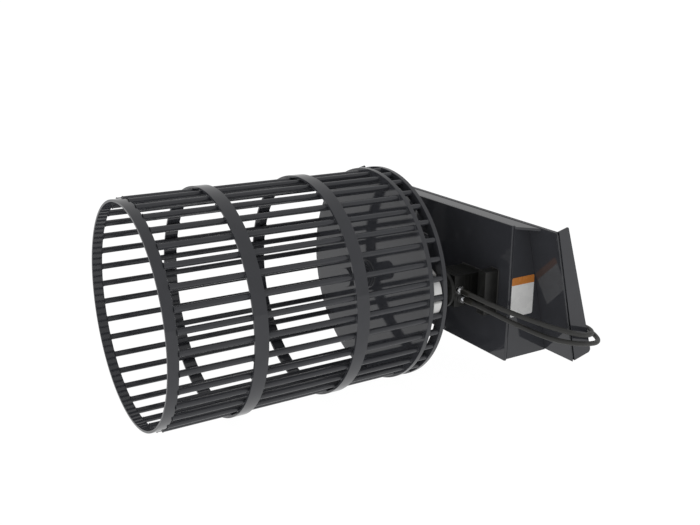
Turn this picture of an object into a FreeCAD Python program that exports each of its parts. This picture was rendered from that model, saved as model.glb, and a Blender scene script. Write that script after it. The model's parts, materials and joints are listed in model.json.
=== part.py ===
"""Rock roller: a bar cage turned by a toothed pinion, on a loader's quick-attach plate.

Frame: origin at the middle of the quick-attach plate's rear face, +X towards the loader,
+Z up.  The drum's axis runs along X, and its mouth is at the -X end.
"""
import FreeCAD, Part
import math
import os
import Sketcher

Vector = FreeCAD.Vector

SIZES = [
    # drum
    ("drum_length", 921, "mouth to the rear face of the drive ring"),
    ("drum_drop", 20, "drum axis below the middle of the quick-attach plate"),
    ("bar_count", 36, "bars round the cage"),
    ("bar_dia", 19, "bar diameter"),
    ("bar_circle", 348, "radius through the middle of the bars"),
    ("hoop_thick", 8, "thickness of the hoop and the bands"),
    ("mouth_hoop_width", 33, "width of the hoop that the bars butt on"),
    ("band_width", 44, "width of the bands round the bars"),
    ("front_band_at", 273, "mouth to the middle of the front band"),
    ("rear_band_at", 609, "mouth to the middle of the rear band"),
    ("back_plate_thick", 16, "drum's closed back"),
    # drive ring
    ("ring_gap", 37, "back plate to drive ring"),
    ("ring_thick", 15, "drive ring along the axis"),
    ("ring_face", 34, "drive ring across its face"),
    ("pin_count", 36, "cross pins of the drive ring"),
    ("pin_dia", 19, "cross pin diameter"),
    ("pin_inset", 2, "cross pins inside the rim"),
    ("mesh_angle", 1.6, "line from the drum axis to the pinion, above level"),
    # pinion
    ("tooth_count", 8, "teeth of the pinion"),
    ("pinion_width", 34, "pinion along the axis"),
    ("tooth_height", 9.5, "teeth beyond the pitch circle"),
    ("mesh_play", 0.9, "clearance between a cross pin and the teeth"),
    ("tooth_round", 6, "rounding of the teeth at their rear end"),
    ("pinion_hub_radius", 36, "pinion's boss"),
    ("pinion_hub_length", 26, "pinion's boss behind the teeth"),
    ("shaft_dia", 32, "motor shaft"),
    # drum bearing
    ("hub_flange_radius", 112, "hub flange behind the back plate"),
    ("hub_flange_thick", 14, "hub flange"),
    ("hub_radius", 68, "bearing housing"),
    ("hub_length", 122, "bearing housing and flange along the axis"),
    ("axle_radius", 40, "stub axle"),
    ("running_fit", 0.05, "radial clearance in a bearing"),
    ("end_play", 3, "axial clearance at a shaft's end"),
    ("cap_radius", 33, "spindle cap inside the drum"),
    ("cap_length", 90, "spindle cap ahead of the back plate"),
    ("cap_collar_radius", 46, "collar round the foot of the spindle cap"),
    ("cap_collar_thick", 10, "collar round the foot of the spindle cap"),
    ("hub_bolt_count", 8, "bolts through the hub flange"),
    ("hub_bolt_circle", 90, "radius through the hub bolts"),
    ("hub_bolt_head", 12, "corner radius of a bolt head"),
    ("hub_bolt_height", 10, "bolt head"),
    ("axle_flange_radius", 112, "stub axle's flange"),
    ("axle_flange_thick", 16, "stub axle's flange"),
    ("axle_root_radius", 60, "stub axle where it meets its flange"),
    ("axle_root_length", 40, "cone at the root of the stub axle"),
    # frame
    ("drum_gap", 170, "drive ring to the front plate"),
    ("frame_depth", 130, "front plate to the quick-attach plate's rear face"),
    ("frame_width", 914, "across the side plates"),
    ("frame_top", 218, "top of the frame above the origin"),
    ("frame_bottom", -226, "bottom of the frame"),
    ("plate_thick", 10, "front and side plates"),
    ("flange_thick", 8, "top flange"),
    ("front_plate_rise", 4, "front plate above the top flange"),
    ("front_plate_drop", 5, "front plate below the side plates"),
    ("flange_rear_width", 1030, "top flange where it meets the quick-attach plate"),
    ("rib_offset", 165, "middle of each inner rib from the middle"),
    # quick attach
    ("attach_lean", 14.3, "quick-attach plate from upright"),
    ("attach_width", 1168, "across the end strips"),
    ("attach_height", 457, "along the slope"),
    ("attach_thick", 10, "quick-attach plate"),
    ("strip_thick", 8, "end strips"),
    ("strip_top_depth", 40, "end strips behind the plate at their top"),
    ("hook_angle", 45, "between the top hook and the plate"),
    ("hook_length", 44, "top hook down its slope"),
    ("hook_thick", 8, "top hook"),
    ("shelf_depth", 73, "bottom flange behind the plate"),
    ("shelf_thick", 10, "bottom flange"),
    ("corner_round", 12, "end strip's lower rear corner"),
    ("slot_offset", 457, "lock-pin slot from the middle"),
    ("slot_length", 62, "lock-pin slot across"),
    ("slot_depth", 34, "lock-pin slot front to back"),
    ("slot_edge", 10, "shelf left behind a lock-pin slot"),
    # motor
    ("bracket_size", 106, "square motor bracket"),
    ("bracket_wall", 8, "motor bracket's wall"),
    ("bracket_length", 48, "motor bracket ahead of the front plate"),
    ("motor_plate_thick", 12, "plate that the motor is bolted to"),
    ("lug_width", 38, "motor lug beside the bracket"),
    ("lug_length", 53, "motor lug ahead of the front plate"),
    ("lug_height", 147, "motor lug"),
    ("lug_rise", 4, "middle of the motor lug above the motor axis"),
    ("lug_reach", 130, "motor lug's outer face from the motor axis"),
    ("motor_size", 106, "motor's square housing"),
    ("motor_length", 54, "motor's square housing"),
    ("motor_neck_radius", 48, "groove behind the motor's front flange"),
    ("motor_neck_length", 4, "groove behind the motor's front flange"),
    ("motor_flange_radius", 62, "motor's round front flange"),
    ("motor_flange_thick", 12, "motor's round front flange"),
    ("motor_nose_radius", 30, "motor nose"),
    ("motor_nose_length", 12, "motor nose"),
    ("motor_tail_radius", 40, "motor's rear end inside the bracket"),
    ("motor_tail_length", 44, "motor's rear end behind the motor plate"),
    ("shaft_seat", 24, "motor shaft inside the motor"),
    ("port_drop", 10, "middle of the ports below the motor axis"),
    ("port_pitch", 32, "upper port above the lower port"),
    ("port_slant", 14, "upper port ahead of the lower port"),
    ("port_ahead", 32, "middle of the ports ahead of the housing's rear face"),
    # hoses and their fittings
    ("hose_dia", 16, "hydraulic hose"),
    ("elbow_nut", 14.5, "corner radius of an elbow's nut"),
    ("elbow_nut_length", 12, "elbow's nut off the motor"),
    ("elbow_radius", 7, "elbow's bent pipe"),
    ("elbow_reach", 16, "elbow's middle off the motor"),
    ("coupler_sleeve_radius", 12, "quick coupler's collar on the hose"),
    ("coupler_sleeve_length", 30, "quick coupler's collar on the hose"),
    ("coupler_radius", 15, "quick coupler's body"),
    ("coupler_length", 42, "quick coupler's body"),
    ("coupler_nose_radius", 10, "quick coupler's nose"),
    ("coupler_nose_length", 16, "quick coupler's nose"),
]

# Routes of the hoses, from elbow to coupler: round the left end strip and into the trough.
UPPER_ROUTE = [
    (-225.4, -356.8, -8.2), (-211, -407, -16), (-184, -450, -32), (-137, -514, -53), (-82, -582, -75),
    (-20, -619, -97), (42, -628, -118), (97, -612, -129), (133, -567, -133), (137, -511, -136),
    (120, -448, -146), (93, -384, -163), (77, -318, -180), (69, -250, -189), (67, -182, -191),
]
LOWER_ROUTE = [
    (-211.2, -357.2, -40.2), (-196, -409, -48), (-168, -452, -66), (-125, -515, -92), (-68, -585, -120),
    (-5, -618, -137), (61, -627, -151), (134, -610, -165), (177, -551, -168), (191, -473, -163),
    (171, -398, -166), (132, -339, -177), (104, -272, -190), (100, -196, -191), (95, -120, -191),
    (80, -50, -189),
]
ARC_SHARE = 0.45    # of the shorter run beside a bend
LEAST_BEND = 5      # bend radius of a hose, in diameters

DRUM_X = "(-(Dims.drum_length + Dims.drum_gap + Dims.frame_depth))"
DRUM_Z = "(-Dims.drum_drop)"
RIM = "(Dims.bar_circle + Dims.bar_dia / 2 + Dims.hoop_thick)"
BACK_FRONT = "(Dims.drum_length - Dims.ring_thick - Dims.ring_gap - Dims.back_plate_thick)"
BACK_REAR = "(Dims.drum_length - Dims.ring_thick - Dims.ring_gap)"
RING_FRONT = "(Dims.drum_length - Dims.ring_thick)"
PIN_CIRCLE = "(%s - Dims.pin_inset - Dims.pin_dia / 2)" % RIM
PITCH_RADIUS = "(%s * Dims.tooth_count / Dims.pin_count)" % PIN_CIRCLE
MOTOR_OFFSET = "(%s - %s)" % (PIN_CIRCLE, PITCH_RADIUS)
PLATE_X = "(Dims.drum_length + Dims.drum_gap)"
MOTOR_PLATE_X = "(%s - Dims.bracket_length - Dims.motor_plate_thick)" % PLATE_X
MOTOR_HEAD = "(Dims.motor_nose_length + Dims.motor_flange_thick + Dims.motor_neck_length)"
MOTOR_NOSE_X = "(%s - Dims.motor_length - %s)" % (MOTOR_PLATE_X, MOTOR_HEAD)
PINION_X = "(%s + (Dims.ring_gap - Dims.pinion_width) / 2)" % BACK_REAR
BORE = "(Dims.shaft_dia / 2 + Dims.running_fit)"

doc = FreeCAD.newDocument("RockRoller")
dims = doc.addObject("Spreadsheet::Sheet", "Dims")
pieces = {}


def fill_sheet():
    for row, (name, value, meaning) in enumerate(SIZES, 1):
        dims.set("A%d" % row, name)
        dims.set("B%d" % row, str(value))
        dims.set("C%d" % row, meaning)
        dims.setAlias("B%d" % row, name)
    doc.recompute()


def number(expression):
    value = dims.evalExpression(str(expression))
    return float(getattr(value, "Value", value))


def bind(thing, **expressions):
    for name, expression in expressions.items():
        thing.setExpression(name.replace("__", "."), str(expression))


def place(thing, x="0", y="0", z="0"):
    bind(thing, Placement__Base__x=x, Placement__Base__y=y, Placement__Base__z=z)


def on_drum(thing, x="0", y="0", z="0"):
    """Place a thing whose own X runs along the drum axis, x from the mouth."""
    place(thing, "%s + %s" % (DRUM_X, x), y, "%s + %s" % (DRUM_Z, z))


def on_motor(thing, x="0"):
    out = "%s * cos(Dims.mesh_angle * 1 deg)" % MOTOR_OFFSET
    rise = "%s * sin(Dims.mesh_angle * 1 deg)" % MOTOR_OFFSET
    on_drum(thing, x, "-%s" % out, rise)


def on_attach_plate(thing):
    """Lean a thing back with the quick-attach plate: its X leaves the plate's rear face."""
    thing.Placement = FreeCAD.Placement(Vector(), FreeCAD.Rotation(Vector(0, 1, 0), -1))
    bind(thing, Placement__Rotation__Angle="-Dims.attach_lean")


def body(label):
    made = doc.addObject("PartDesign::Body", "Body_" + label)
    made.Label = label
    pieces[label] = made
    return made


def origin_feature(made, role):
    return [item for item in made.Origin.OriginFeatures if item.Role == role][0]


def sketch(made, plane, offset="0"):
    drawn = made.newObject("Sketcher::SketchObject", "Sketch_" + made.Label)
    drawn.AttachmentSupport = [(origin_feature(made, plane), "")]
    drawn.MapMode = "FlatFace"
    bind(drawn, AttachmentOffset__Base__z=offset)
    return drawn


def outline(drawn, corners):
    """Draw a closed outline through corners, each held by its two distances."""
    at = [Vector(number(x), number(y), 0) for x, y in corners]
    first = drawn.GeometryCount
    count = len(corners)
    for index in range(count):
        drawn.addGeometry(Part.LineSegment(at[index], at[(index + 1) % count]), False)
    for index in range(count):
        near, far = first + index, first + (index + 1) % count
        drawn.addConstraint(Sketcher.Constraint("Coincident", near, 2, far, 1))
    for index, (x, y) in enumerate(corners):
        for kind, expression, value in (("DistanceX", x, at[index].x), ("DistanceY", y, at[index].y)):
            held = drawn.addConstraint(Sketcher.Constraint(kind, -1, 1, first + index, 1, value))
            drawn.setExpression("Constraints[%d]" % held, str(expression))


def box_outline(drawn, x0, y0, x1, y1):
    outline(drawn, [(x0, y0), (x1, y0), (x1, y1), (x0, y1)])


def round_outline(drawn, radius):
    circle = drawn.addGeometry(Part.Circle(Vector(), Vector(0, 0, 1), number(radius)), False)
    drawn.addConstraint(Sketcher.Constraint("Coincident", circle, 3, -1, 1))
    held = drawn.addConstraint(Sketcher.Constraint("Radius", circle, number(radius)))
    drawn.setExpression("Constraints[%d]" % held, str(radius))


def pad(made, drawn, length, side="One side"):
    grown = made.newObject("PartDesign::Pad", "Pad_" + made.Label)
    grown.Profile = drawn
    grown.SideType = side
    bind(grown, Length=length)
    drawn.Visibility = False
    return grown


def turned(label, corners):
    """Turn an outline, given as (along the axis, radius), about the body's X axis."""
    made = body(label)
    drawn = sketch(made, "XZ_Plane")
    outline(drawn, corners)
    grown = made.newObject("PartDesign::Revolution", "Turn_" + label)
    grown.Profile = drawn
    grown.ReferenceAxis = (origin_feature(made, "X_Axis"), [""])
    grown.Angle = 360
    return made


def ring(label, start, end, inner, outer):
    made = turned(label, [(start, inner), (end, inner), (end, outer), (start, outer)])
    on_drum(made)


def spread(label, kind, count, circle, start, angle="0", **sizes):
    """A ring of like rods round the drum axis, as one compound of separate solids."""
    rods = []
    for index in range(int(number(count))):
        rod = doc.addObject(kind, "%s_%d" % (label, index))
        rod.Placement = FreeCAD.Placement(Vector(), FreeCAD.Rotation(Vector(0, 1, 0), 90))
        turn = "(%s + %d * 360 / %s) * 1 deg" % (angle, index, count)
        on_drum(rod, start, "-%s * cos(%s)" % (circle, turn), "%s * sin(%s)" % (circle, turn))
        bind(rod, **sizes)
        rods.append(rod)
    made = doc.addObject("Part::Compound", "All_" + label)
    made.Links = rods
    made.Label = label
    pieces[label] = made
    return rods


def make_cage():
    half = "Dims.hoop_thick / 2"
    ring("mouth_hoop", "0", "Dims.mouth_hoop_width",
         "Dims.bar_circle - " + half, "Dims.bar_circle + " + half)
    for label, middle in (("front_band", "Dims.front_band_at"), ("rear_band", "Dims.rear_band_at")):
        ring(label, middle + " - Dims.band_width / 2", middle + " + Dims.band_width / 2",
             "Dims.bar_circle + Dims.bar_dia / 2", RIM)
    spread("cage_bars", "Part::Cylinder", "Dims.bar_count", "Dims.bar_circle", "Dims.mouth_hoop_width",
           Radius="Dims.bar_dia / 2", Height="%s - Dims.mouth_hoop_width" % BACK_FRONT)


def make_drum_back():
    back = body("back_plate")
    drawn = sketch(back, "YZ_Plane")
    round_outline(drawn, RIM)
    pad(back, drawn, "Dims.back_plate_thick")
    on_drum(back, BACK_FRONT)
    ring("drive_ring", RING_FRONT, "Dims.drum_length", "%s - Dims.ring_face" % RIM, RIM)
    spread("drive_pins", "Part::Cylinder", "Dims.pin_count", PIN_CIRCLE, BACK_REAR, "Dims.mesh_angle",
           Radius="Dims.pin_dia / 2", Height="Dims.ring_gap")


def make_hub():
    bore = "Dims.axle_radius + Dims.running_fit"
    end = "Dims.hub_length"
    hub = turned("drum_hub", [
        ("0", bore), (end, bore), (end, "Dims.hub_radius"),
        ("Dims.hub_flange_thick", "Dims.hub_radius"),
        ("Dims.hub_flange_thick", "Dims.hub_flange_radius"), ("0", "Dims.hub_flange_radius")])
    on_drum(hub, BACK_REAR)
    foot = "-Dims.cap_collar_thick"
    cap = turned("spindle_cap", [
        ("0", "0"), ("0", "Dims.cap_collar_radius"), (foot, "Dims.cap_collar_radius"),
        (foot, "Dims.cap_radius"), ("-Dims.cap_length", "Dims.cap_radius"), ("-Dims.cap_length", "0")])
    on_drum(cap, BACK_FRONT)
    heads = spread("hub_bolts", "Part::Prism", "Dims.hub_bolt_count", "Dims.hub_bolt_circle",
                   "%s + Dims.hub_flange_thick" % BACK_REAR,
                   Circumradius="Dims.hub_bolt_head", Height="Dims.hub_bolt_height")
    for head in heads:
        head.Polygon = 6


def make_stub_axle():
    start = "%s + Dims.end_play" % BACK_REAR
    face = "%s - Dims.axle_flange_thick" % PLATE_X
    axle = turned("stub_axle", [
        (start, "0"), (start, "Dims.axle_radius"),
        (face + " - Dims.axle_root_length", "Dims.axle_radius"), (face, "Dims.axle_root_radius"),
        (face, "Dims.axle_flange_radius"), (PLATE_X, "Dims.axle_flange_radius"), (PLATE_X, "0")])
    on_drum(axle)


def attach_front(height):
    """X of the quick-attach plate's front face at a height."""
    lean = "Dims.attach_lean * 1 deg"
    return "(-Dims.attach_thick / cos(%s) - (%s) * tan(%s))" % (lean, height, lean)


def make_frame():
    plate = body("front_plate")
    drawn = sketch(plate, "YZ_Plane")
    half = "Dims.frame_width / 2"
    under = "(Dims.frame_top - Dims.flange_thick)"
    box_outline(drawn, "-" + half, "Dims.frame_bottom - Dims.front_plate_drop",
                half, "Dims.frame_top + Dims.front_plate_rise")
    pad(plate, drawn, "Dims.plate_thick")
    place(plate, "-Dims.frame_depth")
    flange = body("top_flange")
    drawn = sketch(flange, "XY_Plane")
    rear = attach_front("Dims.frame_top")
    wide = "Dims.flange_rear_width / 2"
    front = "Dims.plate_thick - Dims.frame_depth"
    outline(drawn, [(front, "-" + half), (rear, "-" + wide), (rear, wide), (front, half)])
    pad(flange, drawn, "Dims.flange_thick")
    place(flange, z=under)
    web_at = "(%s - Dims.plate_thick / 2)" % half
    for label, at in (("left_side_plate", "-" + web_at), ("right_side_plate", web_at),
                      ("left_rib", "-Dims.rib_offset"), ("right_rib", "Dims.rib_offset")):
        make_web(label, at, under)


def make_web(label, at, under):
    """An upright plate between the front plate and the quick-attach plate."""
    web = body(label)
    drawn = sketch(web, "XZ_Plane")
    front = "Dims.plate_thick - Dims.frame_depth"
    outline(drawn, [(front, "Dims.frame_bottom"), (attach_front("Dims.frame_bottom"), "Dims.frame_bottom"),
                    (attach_front(under), under), (front, under)])
    pad(web, drawn, "Dims.plate_thick", "Symmetric")
    place(web, y=at)


def attach_profile(label, corners, length, at="0"):
    """A piece of the quick-attach plate, drawn in its leaning cross-section."""
    made = body(label)
    drawn = sketch(made, "XZ_Plane", "-(%s)" % at)
    outline(drawn, corners)
    pad(made, drawn, length, "Symmetric")
    on_attach_plate(made)
    return made


def make_quick_attach():
    top = "Dims.attach_height / 2"
    inside = "Dims.attach_width - 2 * Dims.strip_thick"
    front = "-Dims.attach_thick"
    attach_profile("quick_attach_plate", [(front, "-" + top), ("0", "-" + top), ("0", top), (front, top)],
                   "Dims.attach_width")
    turn = "(Dims.hook_angle * 1 deg)"
    out, fall = "Dims.hook_length * sin%s" % turn, "Dims.hook_length * cos%s" % turn
    inward, down = "Dims.hook_thick * cos%s" % turn, "Dims.hook_thick * sin%s" % turn
    root = "%s - Dims.hook_thick / sin%s" % (top, turn)
    attach_profile("top_hook", [("0", root), ("%s - %s" % (out, inward), "%s - %s - %s" % (top, fall, down)),
                                (out, "%s - %s" % (top, fall)), ("0", top)], inside)
    end = "(Dims.attach_width / 2 - Dims.strip_thick / 2)"
    for label, at in (("left_end_strip", "-" + end), ("right_end_strip", end)):
        strip = attach_profile(label, [("0", "-" + top), ("Dims.shelf_depth", "-" + top),
                                       ("Dims.strip_top_depth", top), ("0", top)], "Dims.strip_thick", at)
        round_corner(strip)
    make_shelf(inside, top)


def round_corner(strip):
    """Round the end strip's lower rear corner."""
    doc.recompute()
    padded = strip.Tip
    edges = padded.Shape.Edges
    reach = [edge.CenterOfMass.x - edge.CenterOfMass.z for edge in edges]
    corner = reach.index(max(reach)) + 1
    rounded = strip.newObject("PartDesign::Fillet", "Round_" + strip.Label)
    rounded.Base = (padded, ["Edge%d" % corner])
    bind(rounded, Radius="Dims.corner_round")


def make_shelf(inside, top):
    shelf = body("bottom_shelf")
    drawn = sketch(shelf, "XY_Plane", "-" + top)
    half = "(%s) / 2" % inside
    box_outline(drawn, "0", "-" + half, "Dims.shelf_depth", half)
    rear = "(Dims.shelf_depth - Dims.slot_edge)"
    for side in ("-", ""):
        middle = "%sDims.slot_offset" % side
        box_outline(drawn, rear + " - Dims.slot_depth", middle + " - Dims.slot_length / 2",
                    rear, middle + " + Dims.slot_length / 2")
    pad(shelf, drawn, "Dims.shelf_thick")
    on_attach_plate(shelf)


def square(drawn, size):
    half = "(%s) / 2" % size
    box_outline(drawn, "-" + half, "-" + half, half, half)


def make_motor_mount():
    tube = body("motor_bracket")
    drawn = sketch(tube, "YZ_Plane")
    square(drawn, "Dims.bracket_size")
    square(drawn, "Dims.bracket_size - 2 * Dims.bracket_wall")
    pad(tube, drawn, "Dims.bracket_length")
    on_motor(tube, "%s - Dims.bracket_length" % PLATE_X)
    plate = body("motor_plate")
    drawn = sketch(plate, "YZ_Plane")
    square(drawn, "Dims.bracket_size")
    round_outline(drawn, "Dims.motor_tail_radius")
    pad(plate, drawn, "Dims.motor_plate_thick")
    on_motor(plate, MOTOR_PLATE_X)
    lug = body("motor_lug")
    drawn = sketch(lug, "YZ_Plane")
    box_outline(drawn, "-Dims.lug_reach", "Dims.lug_rise - Dims.lug_height / 2",
                "Dims.lug_width - Dims.lug_reach", "Dims.lug_rise + Dims.lug_height / 2")
    pad(lug, drawn, "Dims.lug_length")
    on_motor(lug, "%s - Dims.lug_length" % PLATE_X)


def make_motor():
    """The motor, turned about its axis with x from the front of its nose."""
    nose = "Dims.motor_nose_length"
    neck = "(%s - Dims.motor_neck_length)" % MOTOR_HEAD
    rear = "(%s + Dims.motor_length)" % MOTOR_HEAD
    tail = "(%s + Dims.motor_plate_thick + Dims.motor_tail_length)" % rear
    bottom = "(Dims.shaft_seat + Dims.end_play)"
    motor = turned("drive_motor", [
        ("0", BORE), ("0", "Dims.motor_nose_radius"), (nose, "Dims.motor_nose_radius"),
        (nose, "Dims.motor_flange_radius"), (neck, "Dims.motor_flange_radius"),
        (neck, "Dims.motor_neck_radius"), (rear, "Dims.motor_neck_radius"),
        (rear, "Dims.motor_tail_radius"), (tail, "Dims.motor_tail_radius"),
        (tail, "0"), (bottom, "0"), (bottom, BORE)])
    drawn = sketch(motor, "YZ_Plane", MOTOR_HEAD)
    square(drawn, "Dims.motor_size")
    pad(motor, drawn, "Dims.motor_length")
    on_motor(motor, MOTOR_NOSE_X)


def pin_track(turn, pitch_radius, pin_circle):
    """Where a cross pin's centre passes the pinion, in the pinion's own frame."""
    offset = pin_circle - pitch_radius
    lag = turn * (1 - pitch_radius / pin_circle)
    return Vector(0, pin_circle * math.cos(lag) - offset * math.cos(turn),
                  pin_circle * math.sin(lag) - offset * math.sin(turn))


def tooth_flank(side, pitch_radius, pin_circle, clear):
    """One side of a tooth gap: the pin's path moved out by its cleared radius.

    It starts where that path leaves the round bottom of the gap and ends beyond the tip.
    """
    start, end, steps = 0.32, 0.95, 4
    points = []
    for index in range(steps + 1):
        turn = side * (start + (end - start) * index / steps)
        ahead = pin_track(turn + side * 1e-4, pitch_radius, pin_circle)
        here = pin_track(turn, pitch_radius, pin_circle)
        along = (ahead - here).normalize()
        across = Vector(0, -along.z, along.y) * side
        points.append(here + across * clear)
    return points


def tooth_gap(pitch_radius, pin_circle, clear, width):
    """The space that one cross pin sweeps between two teeth, around the +Y direction."""
    upper = tooth_flank(1, pitch_radius, pin_circle, clear)
    lower = tooth_flank(-1, pitch_radius, pin_circle, clear)
    bottom = Vector(0, pitch_radius - clear, 0)
    edges = []
    for points in (upper, lower):
        curve = Part.BSplineCurve()
        curve.interpolate(points)
        edges.append(curve.toShape())
    edges.append(Part.Arc(upper[0], bottom, lower[0]).toShape())
    edges.append(Part.makeLine(upper[-1], lower[-1]))
    wire = Part.Wire(Part.__sortEdges__(edges))
    return Part.Face(wire).extrude(Vector(width, 0, 0))


def make_pinion():
    pitch_radius = number(PITCH_RADIUS)
    pin_circle = number(PIN_CIRCLE)
    teeth = int(number("Dims.tooth_count"))
    width = number("Dims.pinion_width")
    tip = pitch_radius + number("Dims.tooth_height")
    rounding = number("Dims.tooth_round")
    along = Vector(1, 0, 0)
    corner = [Vector(0, 0, 0), Vector(0, tip, 0), Vector(width - rounding, tip, 0),
              Vector(width, tip - rounding, 0), Vector(width, 0, 0)]
    middle = Vector(width - rounding * (1 - math.sqrt(0.5)), tip - rounding * (1 - math.sqrt(0.5)), 0)
    edges = [Part.makeLine(corner[0], corner[1]), Part.makeLine(corner[1], corner[2]),
             Part.Arc(corner[2], middle, corner[3]).toShape(),
             Part.makeLine(corner[3], corner[4]), Part.makeLine(corner[4], corner[0])]
    blank = Part.Face(Part.Wire(edges)).revolve(Vector(), along, 360)
    clear = number("Dims.pin_dia / 2 + Dims.mesh_play")
    gap = tooth_gap(pitch_radius, pin_circle, clear, width)
    mesh = number("Dims.mesh_angle")
    gaps = []
    for index in range(teeth):
        cutter = gap.copy()
        cutter.rotate(Vector(), along, 180 - mesh + index * 360 / teeth)
        gaps.append(cutter)
    boss_length = width + number("Dims.pinion_hub_length")
    boss = Part.makeCylinder(number("Dims.pinion_hub_radius"), boss_length, Vector(), along)
    bore = Part.makeCylinder(number("Dims.shaft_dia") / 2, boss_length, Vector(), along)
    pinion = doc.addObject("Part::Feature", "Pinion")
    pinion.Label = "drive_pinion"
    pinion.Shape = blank.cut(gaps).fuse(boss).removeSplitter().cut(bore)
    on_motor(pinion, PINION_X)
    pieces["drive_pinion"] = pinion
    shaft = doc.addObject("Part::Cylinder", "Shaft")
    shaft.Label = "motor_shaft"
    shaft.Placement = FreeCAD.Placement(Vector(), FreeCAD.Rotation(Vector(0, 1, 0), 90))
    on_motor(shaft, PINION_X)
    bind(shaft, Radius="Dims.shaft_dia / 2",
         Height="%s + Dims.shaft_seat - %s" % (MOTOR_NOSE_X, PINION_X))
    pieces["motor_shaft"] = shaft


def bent_path(points):
    """Straight runs joined by tangent arcs, one at each inner point, and the arcs' radii."""
    edges = []
    radii = []
    start = points[0]
    for before, corner, after in zip(points, points[1:], points[2:]):
        back, ahead = before - corner, after - corner
        reach = ARC_SHARE * min(back.Length, ahead.Length)
        half_turn = (math.pi - back.getAngle(ahead)) / 2
        radius = reach / math.tan(half_turn)
        inward = (back.normalize() + ahead.normalize()).normalize()
        top = corner + inward * (math.hypot(radius, reach) - radius)
        end = corner + ahead * reach
        edges.append(Part.LineSegment(start, corner + back * reach).toShape())
        edges.append(Part.Arc(corner + back * reach, top, end).toShape())
        radii.append(radius)
        start = end
    edges.append(Part.LineSegment(start, points[-1]).toShape())
    return Part.Wire(edges), radii


def tube(points, path, radius):
    section = Part.Wire([Part.makeCircle(radius, points[0], points[1] - points[0])])
    return path.makePipeShell([section], True, False)


def part_feature(label, shape):
    made = doc.addObject("Part::Feature", "Feature_" + label)
    made.Label = label
    made.Shape = shape
    pieces[label] = made


def make_hose(label, route):
    points = [Vector(*point) for point in route]
    path, radii = bent_path(points)
    radius = number("Dims.hose_dia") / 2
    shape = tube(points, path, radius)
    part_feature(label, shape)
    share = shape.Volume / (math.pi * radius ** 2 * path.Length)
    print("%-20s length %.0f, volume over section times length %.4f, bend radii %s" % (
        label, path.Length, share, " ".join("%.0f" % bend for bend in radii)))
    if min(radii) < LEAST_BEND * 2 * radius:
        raise RuntimeError(label + " bends too tightly")


def make_elbow(label, side, route):
    """A port's nut and the bent pipe that leads into the hose."""
    angle = "(Dims.mesh_angle * 1 deg)"
    port = Vector(number("%s + %s - Dims.port_ahead" % (DRUM_X, MOTOR_PLATE_X)),
                  number("-%s * cos%s - Dims.motor_size / 2" % (MOTOR_OFFSET, angle)),
                  number("%s + %s * sin%s - Dims.port_drop" % (DRUM_Z, MOTOR_OFFSET, angle)))
    port.x -= side * number("Dims.port_slant") / 2
    port.z += side * number("Dims.port_pitch") / 2
    out = Vector(0, -1, 0)
    corners = []
    for index in range(7):
        turn = index * math.pi / 3
        corners.append(port + Vector(math.cos(turn), 0, math.sin(turn)) * number("Dims.elbow_nut"))
    nut = Part.Face(Part.makePolygon(corners)).extrude(out * number("Dims.elbow_nut_length"))
    points = [port, port + out * number("Dims.elbow_reach"), Vector(*route[0])]
    pipe = tube(points, bent_path(points)[0], number("Dims.elbow_radius"))
    part_feature(label, nut.fuse(pipe).removeSplitter())


def make_coupler(label, route):
    """A quick coupler in line with the hose's end: collar, body and nose."""
    end = Vector(*route[-1])
    along = (end - Vector(*route[-2])).normalize()
    solids = []
    for name in ("coupler_sleeve", "coupler", "coupler_nose"):
        length = number("Dims.%s_length" % name)
        solids.append(Part.makeCylinder(number("Dims.%s_radius" % name), length, end, along))
        end = end + along * length
    part_feature(label, solids[0].fuse(solids[1:]))


def make_plumbing():
    for side, name, route in ((1, "upper", UPPER_ROUTE), (-1, "lower", LOWER_ROUTE)):
        make_elbow(name + "_elbow", side, route)
        make_hose(name + "_hose", route)
        make_coupler(name + "_coupler", route)


def check():
    doc.recompute()
    faults = [item.Label for item in doc.Objects if {"Invalid", "Error"} & set(item.State)]
    for label, piece in pieces.items():
        if piece.Shape.isNull() or not piece.Shape.isValid() or not piece.Shape.Solids:
            faults.append(label)
    if faults:
        raise RuntimeError("not sound: " + ", ".join(faults))


def write():
    os.makedirs("parts", exist_ok=True)
    for label, piece in pieces.items():
        piece.Shape.exportStep("parts/%s.step" % label)
        box = piece.Shape.BoundBox
        print("%-20s %3d solids  x %.0f..%.0f  y %.0f..%.0f  z %.0f..%.0f" % (
            label, len(piece.Shape.Solids), box.XMin, box.XMax, box.YMin, box.YMax, box.ZMin, box.ZMax))


fill_sheet()
make_cage()
make_drum_back()
make_hub()
make_stub_axle()
make_frame()
make_quick_attach()
make_motor_mount()
make_motor()
make_pinion()
make_plumbing()
check()
write()
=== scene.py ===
"""Rock roller: finishes, welds, bolts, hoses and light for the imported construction.

Metres, in the construction's frame: +X towards the loader, +Z up, the drum's mouth at -X.
"""
import json
import math

import bpy
from mathutils import Matrix, Vector


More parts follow.
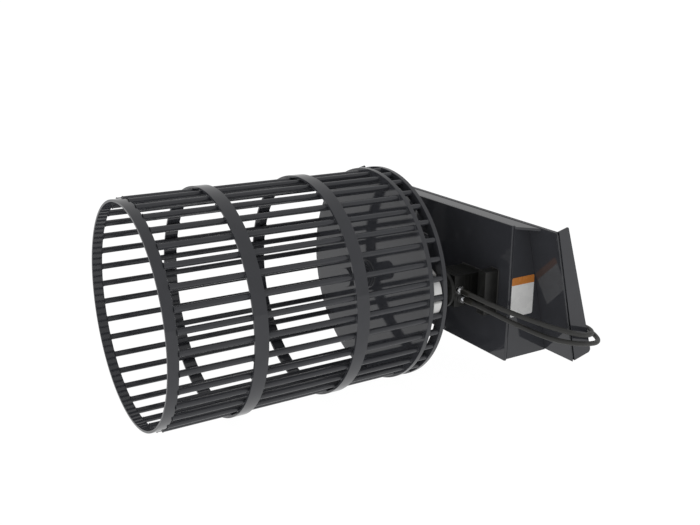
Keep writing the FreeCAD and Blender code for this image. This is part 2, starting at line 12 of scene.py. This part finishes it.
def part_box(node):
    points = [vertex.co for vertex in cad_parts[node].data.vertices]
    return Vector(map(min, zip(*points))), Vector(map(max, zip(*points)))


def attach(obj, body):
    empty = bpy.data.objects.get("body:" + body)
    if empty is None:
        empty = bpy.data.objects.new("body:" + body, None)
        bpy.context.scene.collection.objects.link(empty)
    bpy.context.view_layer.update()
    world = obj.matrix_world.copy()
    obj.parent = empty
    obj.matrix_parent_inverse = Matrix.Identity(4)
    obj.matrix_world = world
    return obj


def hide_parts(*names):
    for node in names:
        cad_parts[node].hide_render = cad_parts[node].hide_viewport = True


MM = 0.001
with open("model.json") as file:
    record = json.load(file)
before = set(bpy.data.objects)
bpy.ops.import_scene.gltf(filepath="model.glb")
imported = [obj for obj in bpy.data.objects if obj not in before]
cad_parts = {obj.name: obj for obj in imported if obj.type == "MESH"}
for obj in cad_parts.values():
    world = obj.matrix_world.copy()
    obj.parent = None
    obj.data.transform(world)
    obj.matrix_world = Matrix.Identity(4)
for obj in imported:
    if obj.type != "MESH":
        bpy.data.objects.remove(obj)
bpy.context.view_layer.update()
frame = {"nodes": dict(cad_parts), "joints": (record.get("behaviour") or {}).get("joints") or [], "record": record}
BODY_OF = {
    node: body
    for body, members in frame["record"]["behaviour"]["bodies"].items()
    for node in members
}
SLOT_OF = {part["node"]: part["material_slot"] for part in frame["record"]["subparts"]}
DRUM_JOINT, PINION_JOINT = (Vector(joint["pos_m"]) for joint in frame["joints"])

# Hose routes, from elbow to coupler.
UPPER_ROUTE = [
    (-0.2254, -0.3568, -0.0082), (-0.211, -0.407, -0.016), (-0.184, -0.450, -0.032),
    (-0.137, -0.514, -0.053), (-0.082, -0.582, -0.075), (-0.020, -0.619, -0.097),
    (0.042, -0.628, -0.118), (0.097, -0.612, -0.129), (0.133, -0.567, -0.133),
    (0.137, -0.511, -0.136), (0.120, -0.448, -0.146), (0.093, -0.384, -0.163),
    (0.077, -0.318, -0.180), (0.069, -0.250, -0.189), (0.067, -0.182, -0.191),
]
LOWER_ROUTE = [
    (-0.2112, -0.3572, -0.0402), (-0.196, -0.409, -0.048), (-0.168, -0.452, -0.066),
    (-0.125, -0.515, -0.092), (-0.068, -0.585, -0.120), (-0.005, -0.618, -0.137),
    (0.061, -0.627, -0.151), (0.134, -0.610, -0.165), (0.177, -0.551, -0.168),
    (0.191, -0.473, -0.163), (0.171, -0.398, -0.166), (0.132, -0.339, -0.177),
    (0.104, -0.272, -0.190), (0.100, -0.196, -0.191), (0.095, -0.120, -0.191),
    (0.080, -0.050, -0.189),
]
HOSE_RADIUS = 8 * MM

# Quick-attach plate
PLATE_LEAN = math.radians(14.3)
REBATE_DEPTH = 7 * MM
REBATE_WIDTH = 6 * MM
SHELF_TOP = -218.5 * MM     # this and the hook's root are heights along the slope
HOOK_ROOT = 217.2 * MM
SHELF_DEPTH = 73 * MM
STRIP_CORNER = 13 * MM      # where the end strip's rounded corner starts, from the shelf's rear
FLANGE_TAPER = 58 * MM      # how much wider the top flange is at its rear, at each end
FLANGE_LIP = 4 * MM         # the top flange's rear edge, past the beads on the upright plates

# Drum
BAR_COUNT = 36
BAR_RADIUS = 9.5 * MM
HUB_FLANGE = 14 * MM
HUB_RADIUS = 68 * MM
CAP_RADIUS = 46 * MM

# Motor
MOTOR_FACE = -0.244         # front of the square housing
MOTOR_NOSE = 12 * MM        # ahead of the round flange
FLANGE_BOLT = 33 * MM       # bolt from the motor's axis, across and up
BOLT_RADIUS = 6 * MM
BOLT_HEIGHT = 5 * MM
WASHER = 2 * MM
PORT_NUT = 14.5 * MM        # the elbow's hexagon, from its middle to a corner
BOSS_RADIUS = PORT_NUT + 1.5 * MM
BOSS_HEIGHT = 4 * MM
SEAMS_AT = (16 * MM, 40 * MM)
SEAM_WIDTH = 2 * MM
SEAM_PROUD = 1.6 * MM       # both sides together

# Welds
BEAD = 3 * MM
THICK_BEAD = 4 * MM
BAND_BEAD = 1.5 * MM
BAR_BEAD = 1.2 * MM
BEAD_PITCH = 3 * MM
BEAD_SWELL = 0.3            # share of the bead's radius
BAND_BEAD_LENGTH = 14 * MM

# Hose fittings
FERRULE_RADIUS = 10 * MM
FERRULE_BACK = 11 * MM      # over the elbow's pipe
FERRULE_AHEAD = 22 * MM     # over the hose
FERRULE_RINGS = 9
CRIMP_DEPTH = 0.8 * MM
COLLAR_AT = 58 * MM         # middle of the collar past the hose's end
COLLAR_LENGTH = 18 * MM
COLLAR_RADIUS = 16.5 * MM
COLLAR_RIM = 1.2 * MM
COLLAR_FLUTES = 60
FLUTE_DEPTH = 0.6 * MM

# Label
LABEL_AT = (-0.0705, -0.017)
LABEL_SIZE = (0.093, 0.132)
LABEL_THICK = 0.4 * MM
LABEL_CORNER = 5 * MM
LABEL_BAND = 26 * MM

# Light that reaches the object, and what the plain backdrop shows
SKY_GLOW = 0.6
SKY_SEEN = 1.05
FLOOR_GLOW = 0.75
FLOOR_SEEN = 0.98
FLOOR_RADIUS = 60

# Camera
LENS = 45.44
EYE = (-1.93968, -2.45738, 0.90595)
EYE_TURN = (73.0916, -0.3851, -31.2855)

# Angles between faces, in degrees, past which an edge is rounded, or shaded sharp
ROUND_FROM = 28
SHARP_FROM = 40


# Selection and small modelling steps

def unselect():
    """Deselect everything, because an operator acts on all that is selected."""
    for other in bpy.context.selected_objects:
        other.select_set(False)


def only(piece):
    """Select one object and make it active."""
    unselect()
    piece.select_set(True)
    bpy.context.view_layer.objects.active = piece


def set_in_place(piece):
    """Move a piece's place and turn into its mesh."""
    only(piece)
    bpy.ops.object.transform_apply(location=True, rotation=True, scale=True)


def joined(name, pieces):
    """Pieces made into one, with its place in its mesh."""
    only(pieces[0])
    for piece in pieces[1:]:
        piece.select_set(True)
    if len(pieces) > 1:
        bpy.ops.object.join()
    made = bpy.context.object
    made.name = name
    set_in_place(made)
    return made


def round_the_drum(piece):
    """A piece at every bar, each with its own mesh; the piece is the first."""
    set_in_place(piece)
    made = [piece]
    for index in range(1, BAR_COUNT):
        twin = piece.copy()
        twin.data = piece.data.copy()
        bpy.context.scene.collection.objects.link(twin)
        twin.matrix_world = (Matrix.Translation(DRUM_JOINT)
                             @ Matrix.Rotation(index * math.tau / BAR_COUNT, 4, "X")
                             @ Matrix.Translation(-DRUM_JOINT))
        made.append(twin)
    return made


def open_selected(piece, kind, chosen):
    """Open a piece for editing, with only the chosen points, edges or faces selected."""
    only(piece)
    bpy.ops.object.mode_set(mode="EDIT")
    bpy.ops.mesh.select_mode(type=kind)
    bpy.ops.mesh.select_all(action="DESELECT")
    bpy.ops.object.mode_set(mode="OBJECT")
    mesh = piece.data
    for item in {"VERT": mesh.vertices, "EDGE": mesh.edges, "FACE": mesh.polygons}[kind]:
        item.select = chosen(item)
    bpy.ops.object.mode_set(mode="EDIT")


def close_edit():
    """Leave edit mode."""
    bpy.ops.object.mode_set(mode="OBJECT")


def rod(start, end, radius, sides):
    """A cylinder from start to end, still to be shaped; its own Z runs along it."""
    line = end - start
    unselect()
    bpy.ops.mesh.primitive_cylinder_add(vertices=sides, radius=radius, depth=line.length,
                                        location=(start + end) / 2,
                                        rotation=line.to_track_quat("Z", "Y").to_euler())
    return bpy.context.object


def divide_rod(piece, length, cuts):
    """Cut a rod into short lengths."""
    def lengthwise(edge):
        first, last = (piece.data.vertices[index].co.z for index in edge.vertices)
        return abs(first - last) > length / 2

    open_selected(piece, "EDGE", lengthwise)
    bpy.ops.mesh.subdivide_edgering(number_cuts=cuts, interpolation="LINEAR")
    close_edit()


def ripple(piece, ring_number, swell):
    """Fatten every second ring of a mesh."""
    open_selected(piece, "VERT", lambda vertex: ring_number(vertex.co) % 2 == 1)
    bpy.ops.transform.shrink_fatten(value=swell)
    close_edit()
    bpy.ops.object.shade_smooth()


def turn_number(place, count):
    """Which of count equal steps round its own Z a point stands at."""
    return round(math.atan2(place.y, place.x) % math.tau / math.tau * count)


def straight_bead(start, end, radius=BEAD):
    """A weld bead along a line."""
    start, end = Vector(start), Vector(end)
    length = (end - start).length
    piece = rod(start, end, radius, 8)
    cuts = 2 * int(length / BEAD_PITCH / 2) + 1
    divide_rod(piece, length, cuts)
    step = length / (cuts + 1)
    ripple(piece, lambda place: round((place.z + length / 2) / step), radius * BEAD_SWELL)
    return piece


def round_bead(centre, circle, radius=BEAD):
    """A weld bead round an axis along X."""
    count = 2 * int(math.tau * circle / BEAD_PITCH / 2)
    unselect()
    bpy.ops.mesh.primitive_torus_add(
        major_radius=circle, minor_radius=radius, major_segments=count, minor_segments=8,
        location=centre, rotation=(0, math.pi / 2, 0))
    piece = bpy.context.object
    ripple(piece, lambda place: turn_number(place, count), radius * BEAD_SWELL)
    return piece


def soften(piece, width):
    """Round the edges and keep the flat faces flat."""
    bevel = piece.modifiers.new("Rounding", "BEVEL")
    bevel.width = width
    bevel.segments = 2
    bevel.limit_method = "ANGLE"
    bevel.angle_limit = math.radians(ROUND_FROM)
    only(piece)
    bpy.ops.object.modifier_apply(modifier=bevel.name)
    flatten_normals(piece)


def flatten_normals(piece):
    """Shade flat faces flat and round ones smooth."""
    only(piece)
    bpy.ops.object.shade_smooth_by_angle(angle=math.radians(SHARP_FROM))
    weigh = piece.modifiers.new("Flat faces", "WEIGHTED_NORMAL")
    weigh.keep_sharp = True
    weigh.weight = 80
    bpy.ops.object.modifier_apply(modifier=weigh.name)


# Materials

def new_group(name, inputs, outputs):
    """A shader node group with named values in and out."""
    group = bpy.data.node_groups.new(name, "ShaderNodeTree")
    for socket, value in inputs.items():
        made = group.interface.new_socket(socket, in_out="INPUT", socket_type="NodeSocketFloat")
        made.default_value = value
    for socket, kind in outputs.items():
        group.interface.new_socket(socket, in_out="OUTPUT", socket_type=kind)
    return group


def coat_texture():
    """Powder coat's orange peel over the slight waviness of rolled plate, with a soft mottle."""
    group = new_group("coat_texture", {"Grain Size": 420.0, "Grain Depth": 0.00002, "Wave Depth": 0.0004},
                      {"Normal": "NodeSocketVector", "Mottle": "NodeSocketFloat"})
    nodes, links = group.nodes, group.links
    given, put = nodes.new("NodeGroupInput"), nodes.new("NodeGroupOutput")
    place = nodes.new("ShaderNodeTexCoord")
    grain = nodes.new("ShaderNodeTexNoise")
    wave = nodes.new("ShaderNodeTexNoise")
    wave.inputs["Scale"].default_value = 9
    wave.inputs["Detail"].default_value = 1
    mottle = nodes.new("ShaderNodeTexNoise")
    mottle.inputs["Scale"].default_value = 26
    mottle.inputs["Detail"].default_value = 5
    low = nodes.new("ShaderNodeBump")
    high = nodes.new("ShaderNodeBump")
    for texture in (grain, wave, mottle):
        links.new(place.outputs["Object"], texture.inputs["Vector"])
    links.new(given.outputs["Grain Size"], grain.inputs["Scale"])
    links.new(wave.outputs["Fac"], low.inputs["Height"])
    links.new(given.outputs["Wave Depth"], low.inputs["Distance"])
    links.new(grain.outputs["Fac"], high.inputs["Height"])
    links.new(given.outputs["Grain Depth"], high.inputs["Distance"])
    links.new(low.outputs["Normal"], high.inputs["Normal"])
    links.new(high.outputs["Normal"], put.inputs["Normal"])
    links.new(mottle.outputs["Fac"], put.inputs["Mottle"])
    return group


COAT_TEXTURE = coat_texture()


def mapped(nodes, links, factor, low, high):
    """A value that follows factor between low and high."""
    spread = nodes.new("ShaderNodeMapRange")
    spread.inputs["From Min"].default_value = 0.3
    spread.inputs["From Max"].default_value = 0.7
    spread.inputs["To Min"].default_value = low
    spread.inputs["To Max"].default_value = high
    links.new(factor, spread.inputs["Value"])
    return spread.outputs["Result"]


def mixed(nodes, links, factor, dark, light):
    """A colour that follows factor between dark and light."""
    mix = nodes.new("ShaderNodeMix")
    mix.data_type = "RGBA"
    mix.inputs["A"].default_value = (*dark, 1)
    mix.inputs["B"].default_value = (*light, 1)
    links.new(factor, mix.inputs["Factor"])
    return mix.outputs["Result"]


def coated(name, dark, light, rough, grain_size=420.0, grain_depth=0.00002, wave_depth=0.0004,
           metal=0.0):
    """A surface whose colour and roughness drift a little between two values."""
    material = bpy.data.materials.new(name)
    material.use_nodes = True
    nodes, links = material.node_tree.nodes, material.node_tree.links
    shader = nodes["Principled BSDF"]
    texture = nodes.new("ShaderNodeGroup")
    texture.node_tree = COAT_TEXTURE
    texture.inputs["Grain Size"].default_value = grain_size
    texture.inputs["Grain Depth"].default_value = grain_depth
    texture.inputs["Wave Depth"].default_value = wave_depth
    mottle = texture.outputs["Mottle"]
    drift = mapped(nodes, links, mottle, 0, 1)
    links.new(mixed(nodes, links, drift, dark, light), shader.inputs["Base Color"])
    links.new(mapped(nodes, links, mottle, *rough), shader.inputs["Roughness"])
    links.new(texture.outputs["Normal"], shader.inputs["Normal"])
    shader.inputs["Metallic"].default_value = metal
    return material


def hose_rubber():
    """Matt rubber with the fine spiral that the wrapping cloth leaves."""
    material = coated("hose_rubber", (0.022, 0.022, 0.0205), (0.032, 0.0315, 0.029), (0.42, 0.55),
                      grain_size=900.0, grain_depth=0.00003, wave_depth=0.0)
    nodes, links = material.node_tree.nodes, material.node_tree.links
    place = nodes.new("ShaderNodeTexCoord")
    turn = nodes.new("ShaderNodeMapping")
    turn.inputs["Scale"].default_value = (160, 6, 1)
    turn.inputs["Rotation"].default_value[2] = math.radians(8)
    wrap = nodes.new("ShaderNodeTexWave")
    wrap.inputs["Scale"].default_value = 1
    bump = nodes.new("ShaderNodeBump")
    bump.inputs["Distance"].default_value = 0.00025
    shader = nodes["Principled BSDF"]
    links.new(place.outputs["UV"], turn.inputs["Vector"])
    links.new(turn.outputs["Vector"], wrap.inputs["Vector"])
    links.new(wrap.outputs["Fac"], bump.inputs["Height"])
    links.new(shader.inputs["Normal"].links[0].from_socket, bump.inputs["Normal"])
    links.new(bump.outputs["Normal"], shader.inputs["Normal"])
    return material


MATERIALS = {
    "charcoal_paint": coated("charcoal_paint", (0.041, 0.0425, 0.0485), (0.045, 0.0465, 0.0535),
                             (0.025, 0.05), wave_depth=0.00008),
    "black_paint": coated("black_paint", (0.008, 0.0082, 0.0075), (0.012, 0.0122, 0.011), (0.3, 0.42),
                          grain_size=300.0, grain_depth=0.00006),
    "white_nylon": coated("white_nylon", (0.80, 0.80, 0.79), (0.86, 0.86, 0.85), (0.42, 0.55),
                          grain_size=260.0, grain_depth=0.00004, wave_depth=0.0),
    "bright_steel": coated("bright_steel", (0.50, 0.50, 0.50), (0.62, 0.62, 0.61), (0.22, 0.36),
                           grain_size=700.0, wave_depth=0.0, metal=1.0),
    "zinc_plate": coated("zinc_plate", (0.74, 0.75, 0.77), (0.86, 0.86, 0.87), (0.16, 0.3),
                         grain_size=500.0, wave_depth=0.0, metal=1.0),
    "hose_rubber": hose_rubber(),
    "black_zinc": coated("black_zinc", (0.035, 0.034, 0.03), (0.06, 0.058, 0.05), (0.3, 0.42),
                         grain_size=500.0, wave_depth=0.0, metal=0.7),
    "sticker_white": coated("sticker_white", (0.84, 0.84, 0.83), (0.88, 0.88, 0.87), (0.22, 0.32),
                            wave_depth=0.0),
    "sticker_orange": coated("sticker_orange", (0.60, 0.21, 0.04), (0.66, 0.24, 0.05), (0.22, 0.32),
                             wave_depth=0.0),
}


def dress(piece, material):
    """Give a piece one material."""
    piece.data.materials.clear()
    piece.data.materials.append(MATERIALS[material])


def settle(piece, body, material):
    """Give a finished piece its material and the body that it moves with."""
    dress(piece, material)
    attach(piece, body)


# Pieces that come from the construction, with their edges rounded

# Edge rounding of each node, in millimetres
EDGE = {
    "mouth_hoop": 1.2, "front_band": 1.2, "rear_band": 1.2, "back_plate": 1.5, "drive_ring": 1.5,
    "drum_hub": 2, "spindle_cap": 1.5, "hub_bolts": 0.8, "drive_pinion": 1, "motor_shaft": 1,
    "front_plate": 3, "top_flange": 1, "left_side_plate": 1, "right_side_plate": 1, "left_rib": 1,
    "right_rib": 1, "quick_attach_plate": 1, "left_end_strip": 1, "right_end_strip": 1, "top_hook": 1,
    "bottom_shelf": 1, "stub_axle": 2, "motor_bracket": 2.5, "motor_plate": 1.2, "motor_lug": 2,
    "drive_motor": 2, "upper_elbow": 0.6, "lower_elbow": 0.6, "upper_coupler": 0.8, "lower_coupler": 0.8,
}


def on_rear_face(depth, side, height):
    """A point behind the leaning quick-attach plate, by its depth and its height along the slope."""
    return Vector((depth * math.cos(PLATE_LEAN) - height * math.sin(PLATE_LEAN), side,
                   depth * math.sin(PLATE_LEAN) + height * math.cos(PLATE_LEAN)))


def cut_end_rebates(plate):
    """Leave a thin lip along each end of the quick-attach plate, ahead of the end strip."""
    low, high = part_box("quick_attach_plate")
    for side in (low.y, high.y):
        middle = side + math.copysign(REBATE_WIDTH / 2, -side)
        unselect()
        bpy.ops.mesh.primitive_cube_add(
            size=1, location=on_rear_face(-REBATE_DEPTH / 2, middle, 0), rotation=(0, -PLATE_LEAN, 0),
            scale=(REBATE_DEPTH, REBATE_WIDTH + 2 * MM, 2 * (high.z - low.z)))
        cutter = bpy.context.object
        cut = plate.modifiers.new("Rebate", "BOOLEAN")
        cut.object = cutter
        cut.solver = "EXACT"
        only(plate)
        bpy.ops.object.modifier_apply(modifier=cut.name)
        bpy.data.objects.remove(cutter)


def rounded_copy(node, width):
    """A construction node's shape with its edges rounded, standing in for it."""
    source = frame["nodes"][node]
    piece = bpy.data.objects.new(node + "_finished", source.data.copy())
    bpy.context.scene.collection.objects.link(piece)
    only(piece)
    bpy.ops.object.mode_set(mode="EDIT")
    bpy.ops.mesh.select_all(action="SELECT")
    bpy.ops.mesh.customdata_custom_splitnormals_clear()
    bpy.ops.mesh.remove_doubles(threshold=0.01 * MM)
    bpy.ops.mesh.dissolve_limited(angle_limit=math.radians(0.5))
    close_edit()
    if node == "quick_attach_plate":
        cut_end_rebates(piece)
    soften(piece, width)
    settle(piece, BODY_OF[node], SLOT_OF[node])
    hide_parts(node)


for node_name, edge_width in EDGE.items():
    rounded_copy(node_name, edge_width * MM)
for node_name in ("cage_bars", "drive_pins"):
    dress(frame["nodes"][node_name], SLOT_OF[node_name])


# Welds

def square_beads(low, high, x):
    """Beads round an upright rectangle that stands on the plane at x."""
    corners = [(x, low.y, low.z), (x, high.y, low.z), (x, high.y, high.z), (x, low.y, high.z)]
    return [straight_bead(start, end) for start, end in zip(corners, corners[1:] + corners[:1])]


def trough_beads():
    """Beads along the inside corners behind the quick-attach plate."""
    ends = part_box("bottom_shelf")[1].y
    beads = [straight_bead(on_rear_face(0, -ends, height), on_rear_face(0, ends, height))
             for height in (SHELF_TOP, HOOK_ROOT)]
    for side in (-ends, ends):
        corner = on_rear_face(0, side, SHELF_TOP)
        beads.append(straight_bead(corner, on_rear_face(0, side, HOOK_ROOT)))
        beads.append(straight_bead(corner, on_rear_face(SHELF_DEPTH - STRIP_CORNER, side, SHELF_TOP)))
    return beads


def web_beads(front, rear):
    """Beads where the upright plates meet the front plate, the top flange and the quick-attach plate."""
    beads = []
    for node in ("left_side_plate", "left_rib", "right_rib", "right_side_plate"):
        low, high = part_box(node)
        faces = []
        if node != "left_side_plate":
            faces.append(low.y)
        if node != "right_side_plate":
            faces.append(high.y)
        foot = rear + (high.z - low.z) * math.tan(PLATE_LEAN)
        for face in faces:
            beads.append(straight_bead((front, face, low.z), (front, face, high.z)))
            beads.append(straight_bead((front, face, high.z), (rear, face, high.z)))
            beads.append(straight_bead((rear, face, high.z), (foot, face, low.z)))
    return beads


def frame_welds():
    """Beads of the frame, and round the stub axle's flange on the front plate."""
    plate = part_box("front_plate")
    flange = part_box("top_flange")
    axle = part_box("stub_axle")
    rear_of_plate = plate[1].x
    beads = web_beads(rear_of_plate, flange[1].x - FLANGE_LIP)
    beads.append(straight_bead((rear_of_plate, flange[0].y + FLANGE_TAPER, flange[1].z),
                               (rear_of_plate, flange[1].y - FLANGE_TAPER, flange[1].z)))
    beads.append(round_bead((plate[0].x, DRUM_JOINT.y, DRUM_JOINT.z),
                            (axle[1].y - axle[0].y) / 2, THICK_BEAD))
    beads += trough_beads()
    settle(joined("frame_welds", beads), "frame", "charcoal_paint")


def motor_mount_welds():
    """Beads round the motor's bracket and lug on the front plate."""
    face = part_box("front_plate")[0].x
    beads = []
    for node in ("motor_bracket", "motor_lug"):
        beads += square_beads(*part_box(node), face)
    settle(joined("motor_mount_welds", beads), "frame", "black_paint")


def drum_welds():
    """Beads round the bars' ends, beside them on the bands, and round the hub and the spindle cap."""
    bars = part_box("cage_bars")
    circle = (bars[1].z - bars[0].z) / 2 - BAR_RADIUS
    beads = []
    for x in (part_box("mouth_hoop")[1].x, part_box("back_plate")[0].x):
        at_bar = (x, DRUM_JOINT.y - circle, DRUM_JOINT.z)
        beads += round_the_drum(round_bead(at_bar, BAR_RADIUS, BAR_BEAD))
    side = DRUM_JOINT.y - circle - BAR_RADIUS
    half = BAND_BEAD_LENGTH / 2
    for node in ("front_band", "rear_band"):
        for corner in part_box(node):
            beads += round_the_drum(straight_bead(
                (corner.x, side, DRUM_JOINT.z - half), (corner.x, side, DRUM_JOINT.z + half), BAND_BEAD))
    hub_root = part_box("drum_hub")[0].x + HUB_FLANGE
    beads.append(round_bead((hub_root, DRUM_JOINT.y, DRUM_JOINT.z), HUB_RADIUS, THICK_BEAD))
    cap_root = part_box("back_plate")[0].x
    beads.append(round_bead((cap_root, DRUM_JOINT.y, DRUM_JOINT.z), CAP_RADIUS, BEAD))
    settle(joined("drum_welds", beads), "drum", "charcoal_paint")


frame_welds()
motor_mount_welds()
drum_welds()


# The motor's bolts, ports and seams

def bolt(place):
    """A hexagon bolt on its washer, facing the mouth."""
    facing = (0, math.pi / 2, 0)
    unselect()
    bpy.ops.mesh.primitive_cylinder_add(vertices=24, radius=BOLT_RADIUS * 1.3, depth=WASHER,
                                        location=place - Vector((WASHER / 2, 0, 0)), rotation=facing)
    washer = bpy.context.object
    unselect()
    bpy.ops.mesh.primitive_cylinder_add(
        vertices=6, radius=BOLT_RADIUS, depth=BOLT_HEIGHT,
        location=place - Vector((WASHER + BOLT_HEIGHT / 2, 0, 0)), rotation=facing)
    made = joined("bolt", [bpy.context.object, washer])
    soften(made, 0.7 * MM)
    return made


def motor_bolts():
    """Four bolts through the motor's round front flange."""
    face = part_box("drive_motor")[0].x + MOTOR_NOSE
    heads = []
    for y in (-FLANGE_BOLT, FLANGE_BOLT):
        for z in (-FLANGE_BOLT, FLANGE_BOLT):
            heads.append(bolt(Vector((face, PINION_JOINT.y + y, PINION_JOINT.z + z))))
    settle(joined("motor_bolts", heads), "frame", "black_paint")


def port_bosses():
    """Raised rings on the motor's side that the fittings are screwed into."""
    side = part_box("motor_plate")[0].y
    rings = []
    for node in ("upper_elbow", "lower_elbow"):
        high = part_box(node)[1]
        middle = Vector((high.x - PORT_NUT, side, high.z - PORT_NUT * math.cos(math.radians(30))))
        unselect()
        bpy.ops.mesh.primitive_cylinder_add(vertices=40, radius=BOSS_RADIUS, depth=BOSS_HEIGHT,
                                            location=middle, rotation=(math.pi / 2, 0, 0))
        ring = bpy.context.object
        set_in_place(ring)
        soften(ring, 1 * MM)
        rings.append(ring)
    settle(joined("port_bosses", rings), "frame", "black_paint")


def housing_seams():
    """Raised bands that clamp the motor's sections together."""
    low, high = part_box("motor_plate")
    middle, size = (low + high) / 2, high - low
    bands = []
    for back in SEAMS_AT:
        unselect()
        bpy.ops.mesh.primitive_cube_add(
            size=1, location=(MOTOR_FACE + back, middle.y, middle.z),
            scale=(SEAM_WIDTH, size.y + SEAM_PROUD, size.z + SEAM_PROUD))
        band = bpy.context.object
        set_in_place(band)
        soften(band, 0.7 * MM)
        bands.append(band)
    settle(joined("motor_section_seams", bands), "frame", "black_paint")


motor_bolts()
port_bosses()
housing_seams()


# Label, left bare

def side_label():
    """A rounded label with a coloured band along its top, on the left side plate."""
    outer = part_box("left_side_plate")[0].y
    wide, high = LABEL_SIZE
    unselect()
    bpy.ops.mesh.primitive_cube_add(size=1, location=(LABEL_AT[0], outer - LABEL_THICK / 2, LABEL_AT[1]),
                                    scale=(wide, LABEL_THICK, high))
    label = bpy.context.object
    label.name = "side_label"
    set_in_place(label)

    def through_the_thickness(edge):
        first, last = (label.data.vertices[index].co for index in edge.vertices)
        return abs(first.y - last.y) > LABEL_THICK / 2

    open_selected(label, "EDGE", through_the_thickness)
    bpy.ops.mesh.bevel(offset=LABEL_CORNER, segments=6)
    bpy.ops.mesh.select_all(action="SELECT")
    split = LABEL_AT[1] + high / 2 - LABEL_BAND
    bpy.ops.mesh.bisect(plane_co=(0, 0, split), plane_no=(0, 0, 1))
    close_edit()
    settle(label, "frame", "sticker_white")
    label.data.materials.append(MATERIALS["sticker_orange"])
    for face in label.data.polygons:
        face.material_index = int(face.center.z > split)


side_label()


# Hoses

def hose(name, route):
    """A hose along its route, as one smooth line."""
    curve = bpy.data.curves.new(name + "_line", "CURVE")
    curve.dimensions = "3D"
    spline = curve.splines.new("NURBS")
    spline.points.add(len(route) - 1)
    for point, place in zip(spline.points, route):
        point.co = (*place, 1)
    spline.order_u = 3
    spline.use_endpoint_u = True
    curve.resolution_u = 14
    curve.bevel_depth = HOSE_RADIUS
    curve.bevel_resolution = 7
    curve.use_fill_caps = True
    piece = bpy.data.objects.new(name + "_rubber", curve)
    bpy.context.scene.collection.objects.link(piece)
    settle(piece, "frame", "hose_rubber")
    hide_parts(name)


def ferrule(name, route):
    """The crimped sleeve that holds a hose to its fitting."""
    start = Vector(route[0])
    along = (Vector(route[1]) - start).normalized()
    length = FERRULE_BACK + FERRULE_AHEAD
    sleeve = rod(start - along * FERRULE_BACK, start + along * FERRULE_AHEAD, FERRULE_RADIUS, 24)
    sleeve.name = name
    divide_rod(sleeve, length, FERRULE_RINGS - 1)
    step = length / FERRULE_RINGS
    ripple(sleeve, lambda place: round((place.z + length / 2) / step), -CRIMP_DEPTH)
    set_in_place(sleeve)
    soften(sleeve, 0.5 * MM)
    settle(sleeve, "frame", "black_zinc")


def knurled_collar(name, route):
    """The ring of a quick coupler that is pulled back to let its other half go."""
    end = Vector(route[-1])
    along = (end - Vector(route[-2])).normalized()
    middle, half = end + along * COLLAR_AT, along * COLLAR_LENGTH / 2
    collar = rod(middle - half, middle + half, COLLAR_RADIUS, COLLAR_FLUTES)
    collar.name = name
    open_selected(collar, "FACE", lambda face: abs(face.normal.z) > 0.9)
    bpy.ops.mesh.inset(thickness=COLLAR_RIM)
    close_edit()

    def flute(place):
        outside = math.hypot(place.x, place.y) > COLLAR_RADIUS - COLLAR_RIM / 2
        return turn_number(place, COLLAR_FLUTES) if outside else 0

    ripple(collar, flute, -FLUTE_DEPTH)
    set_in_place(collar)
    flatten_normals(collar)
    settle(collar, "frame", "zinc_plate")


knurled_collar("upper_collar", UPPER_ROUTE)
knurled_collar("lower_collar", LOWER_ROUTE)
ferrule("upper_ferrule", UPPER_ROUTE)
ferrule("lower_ferrule", LOWER_ROUTE)
hose("upper_hose", UPPER_ROUTE)
hose("lower_hose", LOWER_ROUTE)


# Floor, light and camera

def brightness(tree, on_object, on_view):
    """A strength that is one value for light on the object and another for the plain backdrop."""
    ray = tree.nodes.new("ShaderNodeLightPath")
    chosen = tree.nodes.new("ShaderNodeMapRange")
    chosen.inputs["To Min"].default_value = on_object
    chosen.inputs["To Max"].default_value = on_view
    tree.links.new(ray.outputs["Is Camera Ray"], chosen.inputs["Value"])
    return chosen.outputs["Result"]


def white_floor():
    """A pale floor at the drum's lowest point, bright enough to meet the backdrop."""
    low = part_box("rear_band")[0].z
    bpy.ops.mesh.primitive_circle_add(vertices=64, radius=FLOOR_RADIUS, fill_type="NGON",
                                      location=(0, 0, low))
    floor = bpy.context.object
    floor.name = "studio_floor"
    material = bpy.data.materials.new("studio_floor")
    material.use_nodes = True
    shader = material.node_tree.nodes["Principled BSDF"]
    shader.inputs["Base Color"].default_value = (0.1, 0.1, 0.1, 1)
    shader.inputs["Roughness"].default_value = 0.9
    shader.inputs["Specular IOR Level"].default_value = 0
    shader.inputs["Emission Color"].default_value = (1, 1, 1, 1)
    links = material.node_tree.links
    links.new(brightness(material.node_tree, FLOOR_GLOW, FLOOR_SEEN), shader.inputs["Emission Strength"])
    floor.data.materials.append(material)


def studio_light():
    """Soft white light from all round."""
    world = bpy.data.worlds.new("white_studio")
    bpy.context.scene.world = world
    world.use_nodes = True
    nodes, links = world.node_tree.nodes, world.node_tree.links
    sky = nodes["Background"]
    sky.inputs["Color"].default_value = (1, 1, 1, 1)
    links.new(brightness(world.node_tree, SKY_GLOW, SKY_SEEN), sky.inputs["Strength"])
    bpy.context.scene.view_settings.view_transform = "Standard"


def camera():
    """The view from ahead of the mouth, on the motor's side and above."""
    lens = bpy.data.cameras.new("camera")
    lens.lens = LENS
    lens.sensor_width = 36
    lens.clip_end = 200
    eye = bpy.data.objects.new("camera", lens)
    bpy.context.scene.collection.objects.link(eye)
    eye.location = EYE
    eye.rotation_euler = [math.radians(turn) for turn in EYE_TURN]
    bpy.context.scene.camera = eye


white_floor()
studio_light()
camera()
